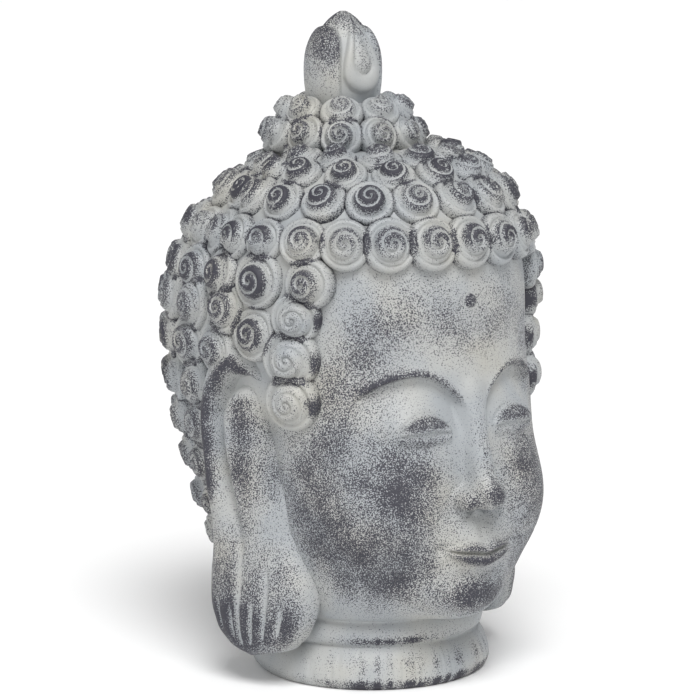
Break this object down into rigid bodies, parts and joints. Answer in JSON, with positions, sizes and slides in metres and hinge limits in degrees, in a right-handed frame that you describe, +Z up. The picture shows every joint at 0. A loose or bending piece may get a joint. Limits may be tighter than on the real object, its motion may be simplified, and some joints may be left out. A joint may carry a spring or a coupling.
{
  "type": "buddha head ornament",
  "caption": "Cast buddha head standing on its flat neck, with snail-shell curls, long ears and a bud-shaped jewel, in whitewashed dark cast stone.",
  "frame": {"origin": "middle of the flat underside of the neck", "axes": "+Z up to the tip of the jewel, -Y forward where the face looks, +X to the figure's left"},
  "size_m": [0.3326, 0.4117, 0.6],
  "materials": {
    "whitewashed_cast_stone": "pale grey wash over an anthracite cast, rubbed through to dark specks on the high places, satin matt"
  },
  "bodies": {
    "root": {"buddha_head": "whitewashed_cast_stone"}
  },
  "joints": []
}
